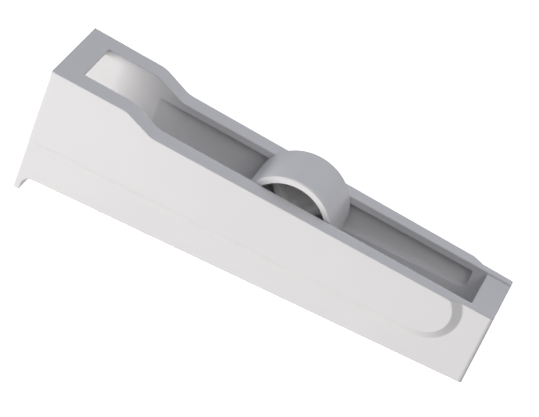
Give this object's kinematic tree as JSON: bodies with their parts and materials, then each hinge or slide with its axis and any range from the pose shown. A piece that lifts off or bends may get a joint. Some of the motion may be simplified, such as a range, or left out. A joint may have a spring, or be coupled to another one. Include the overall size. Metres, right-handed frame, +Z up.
{
  "type": "roller tubing clamp",
  "caption": "Wedge-shaped open trough with a roller riding in wall grooves; the roller pinches soft tubing against the floor to slow or stop flow.",
  "frame": {"origin": "bottom centre of the part's box, on the surface it stands on", "axes": "+X along the housing from the tall end to the low end, +Y across the housing, +Z up"},
  "size_m": [0.0604, 0.0142, 0.0173],
  "materials": {
    "housing": "moulded satin, off-white",
    "roller": "moulded satin, off-white, slightly smoother than the housing"
  },
  "bodies": {
    "housing": {"housing": "housing"},
    "roller": {"roller": "roller"}
  },
  "joints": [
    {"name": "roller_travel", "type": "slide", "parent": "housing", "child": "roller", "axis": [0.9986, 0, -0.0522], "range_m": [-0.016, 0.0182]}
  ]
}
